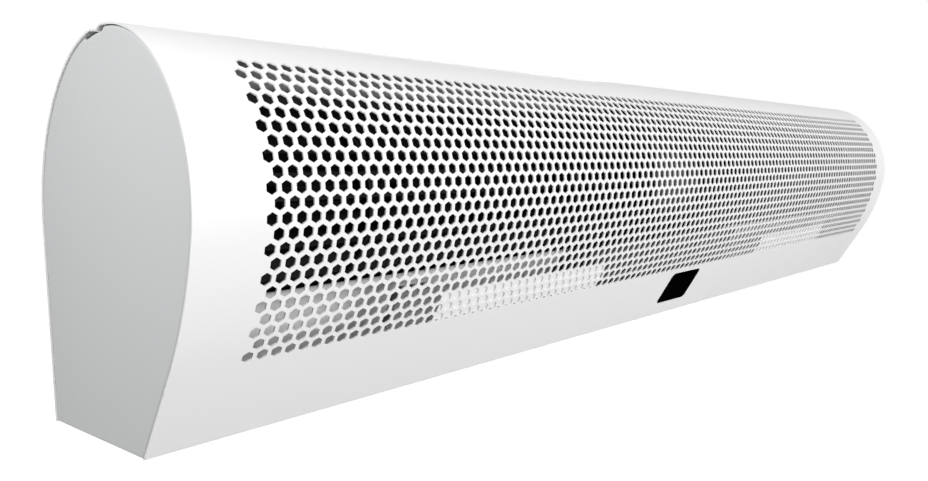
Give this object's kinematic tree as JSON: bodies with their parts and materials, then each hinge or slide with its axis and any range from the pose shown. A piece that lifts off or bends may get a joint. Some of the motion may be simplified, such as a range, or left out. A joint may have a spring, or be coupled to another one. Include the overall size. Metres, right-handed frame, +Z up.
{
  "type": "air curtain",
  "caption": "Wall-mounted air curtain: perforated curved cover, end plates, motor with two tangential impellers, air ducts and tilting outlet vanes.",
  "frame": {"origin": "centre of the wall bracket's four bolt holes, on the wall face", "axes": "+X along the casing, +Y into the wall, +Z up"},
  "size_m": [0.9, 0.1501, 0.1917],
  "materials": {
    "cover_white": "satin white powder coat",
    "shell_white": "satin white powder coat",
    "plate_grey": "light grey satin powder coat",
    "bracket_zinc": "zinc-plated sheet steel",
    "duct_zinc": "galvanised sheet steel",
    "bay_zinc": "galvanised sheet steel",
    "outlet_white": "satin white powder coat",
    "vane_aluminium": "satin aluminium",
    "bush_plastic": "ivory acetal",
    "impeller_black": "black anodised",
    "shaft_steel": "ground steel",
    "screw_steel": "zinc-plated steel",
    "stator_iron": "lacquered lamination stack",
    "motor_enamel": "grey enamel",
    "ring_rubber": "matt rubber",
    "lead_black": "black sleeving",
    "winding_copper": "enamelled copper wire, laced and dipped",
    "bush_bronze": "sintered bronze",
    "box_black": "matt black plastic",
    "board_green": "solder resist",
    "part_blue": "moulded plastic",
    "capacitor_white": "moulded plastic",
    "terminal_ivory": "moulded plastic",
    "window_black": "gloss black acrylic",
    "grommet_rubber": "matt rubber",
    "stud_brass": "brass",
    "foam_grey": "closed-cell foam"
  },
  "bodies": {
    "casing": {"front_cover": "cover_white", "rear_shell": "shell_white", "end_plate_left": "plate_grey", "end_plate_right": "plate_grey", "wall_bracket": "bracket_zinc", "volute_left": "duct_zinc", "volute_right": "duct_zinc", "tongue_left": "duct_zinc", "tongue_right": "duct_zinc", "bay_plate_left": "bay_zinc", "bay_plate_right": "bay_zinc", "outlet_frame": "outlet_white", "vane_bushes": "bush_plastic", "motor_stator": "stator_iron", "motor_windings": "winding_copper", "motor_bell_left": "motor_enamel", "motor_bell_right": "motor_enamel", "motor_bushes": "bush_bronze", "motor_bolts": "screw_steel", "motor_rings": "ring_rubber", "motor_lead": "lead_black", "bearing_bracket_left": "bracket_zinc", "bearing_bracket_right": "bracket_zinc", "bearing_rubbers": "ring_rubber", "bearing_bushes": "bush_bronze", "control_tray": "box_black", "control_lid": "box_black", "control_board": "board_green", "board_parts": "part_blue", "run_capacitor": "capacitor_white", "terminal_block": "terminal_ivory", "receiver_board": "board_green", "receiver_window": "window_black", "cable_grommet": "grommet_rubber", "earth_stud": "stud_brass", "foam_pads": "foam_grey", "cover_screws": "screw_steel", "shell_screws": "screw_steel", "end_screws": "screw_steel", "bearing_nuts": "screw_steel", "duct_screws": "screw_steel"},
    "rotor": {"impeller_left": "impeller_black", "impeller_right": "impeller_black", "stub_shaft_left": "shaft_steel", "stub_shaft_right": "shaft_steel", "motor_shaft": "shaft_steel", "motor_core": "stator_iron", "hub_screws": "screw_steel"},
    "left_vane": {"vane_left": "vane_aluminium"},
    "right_vane": {"vane_right": "vane_aluminium"}
  },
  "joints": [
    {"name": "rotor_spin", "type": "hinge", "parent": "casing", "child": "rotor", "pos_m": [0, -0.0743, 0.05], "axis": [1, 0, 0], "continuous": true},
    {"name": "left_vane_tilt", "type": "hinge", "parent": "casing", "child": "left_vane", "pos_m": [-0.24225, -0.05628, -0.0465], "axis": [1, 0, 0], "range_deg": [-35, 35]},
    {"name": "right_vane_tilt", "type": "hinge", "parent": "casing", "child": "right_vane", "pos_m": [0.24225, -0.05628, -0.0465], "axis": [1, 0, 0], "range_deg": [-35, 35]}
  ]
}
